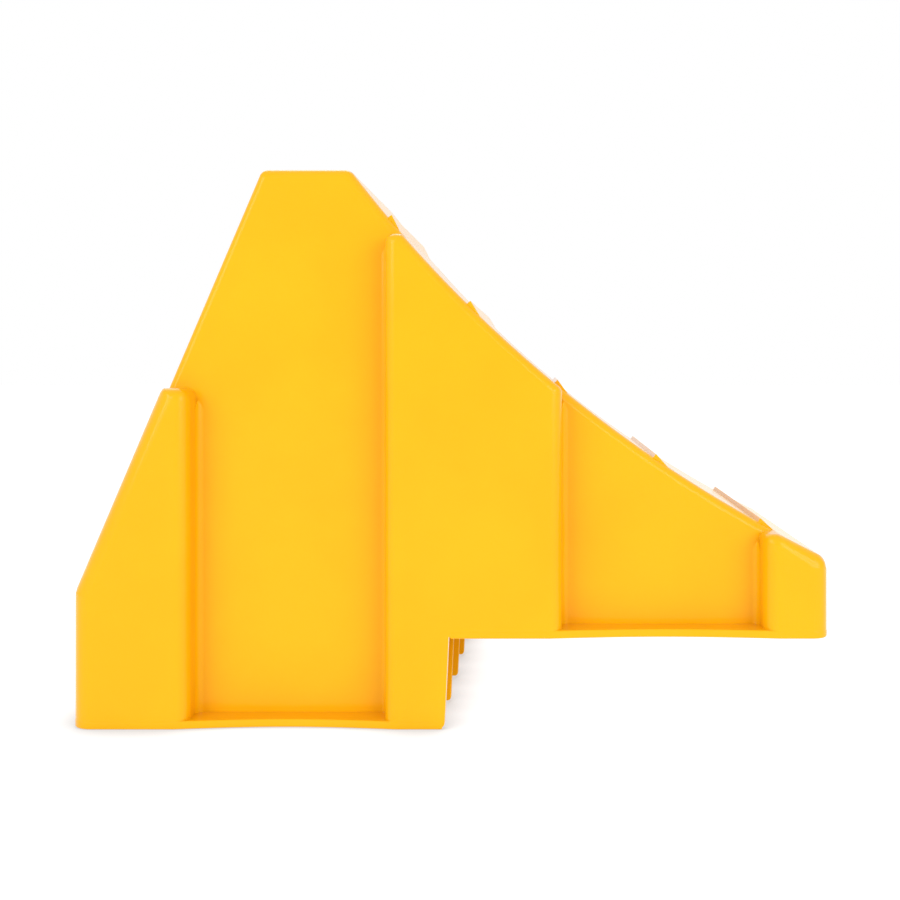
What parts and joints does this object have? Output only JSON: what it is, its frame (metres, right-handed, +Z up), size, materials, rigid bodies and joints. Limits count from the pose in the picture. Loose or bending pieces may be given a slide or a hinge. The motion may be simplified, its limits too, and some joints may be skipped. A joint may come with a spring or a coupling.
{
  "type": "wheel chock",
  "caption": "Portable wheel chock: an open-bottomed ribbed wedge with a curved, ridged tread and a stepped base that fits over the edge of a levelling block.",
  "frame": {"origin": "middle of the bounding box at ground level, where the heel rests", "axes": "+X from the upright heel towards the toe that goes under the tyre, +Y across the chock to its far side, +Z up"},
  "size_m": [0.2128, 0.114, 0.1588],
  "materials": {
    "yellow_plastic": "satin moulded, lightly textured, coloured through"
  },
  "bodies": {
    "root": {"heel_wall": "yellow_plastic", "back_slope": "yellow_plastic", "top_plate": "yellow_plastic", "tread_deck": "yellow_plastic", "toe_wall": "yellow_plastic", "near_heel_buttress": "yellow_plastic", "near_heel_roof": "yellow_plastic", "near_rear_panel": "yellow_plastic", "near_centre_buttress": "yellow_plastic", "near_front_panel": "yellow_plastic", "near_toe_buttress": "yellow_plastic", "near_rear_lip": "yellow_plastic", "near_front_lip": "yellow_plastic", "far_heel_buttress": "yellow_plastic", "far_heel_roof": "yellow_plastic", "far_rear_panel": "yellow_plastic", "far_centre_buttress": "yellow_plastic", "far_front_panel": "yellow_plastic", "far_toe_buttress": "yellow_plastic", "far_rear_lip": "yellow_plastic", "far_front_lip": "yellow_plastic", "near_rib": "yellow_plastic", "centre_rib": "yellow_plastic", "far_rib": "yellow_plastic", "step_web_1": "yellow_plastic", "step_web_2": "yellow_plastic", "step_web_3": "yellow_plastic", "step_web_4": "yellow_plastic", "grip_ridge_1": "yellow_plastic", "grip_ridge_2": "yellow_plastic", "grip_ridge_3": "yellow_plastic", "grip_ridge_4": "yellow_plastic", "grip_ridge_5": "yellow_plastic"}
  },
  "joints": []
}
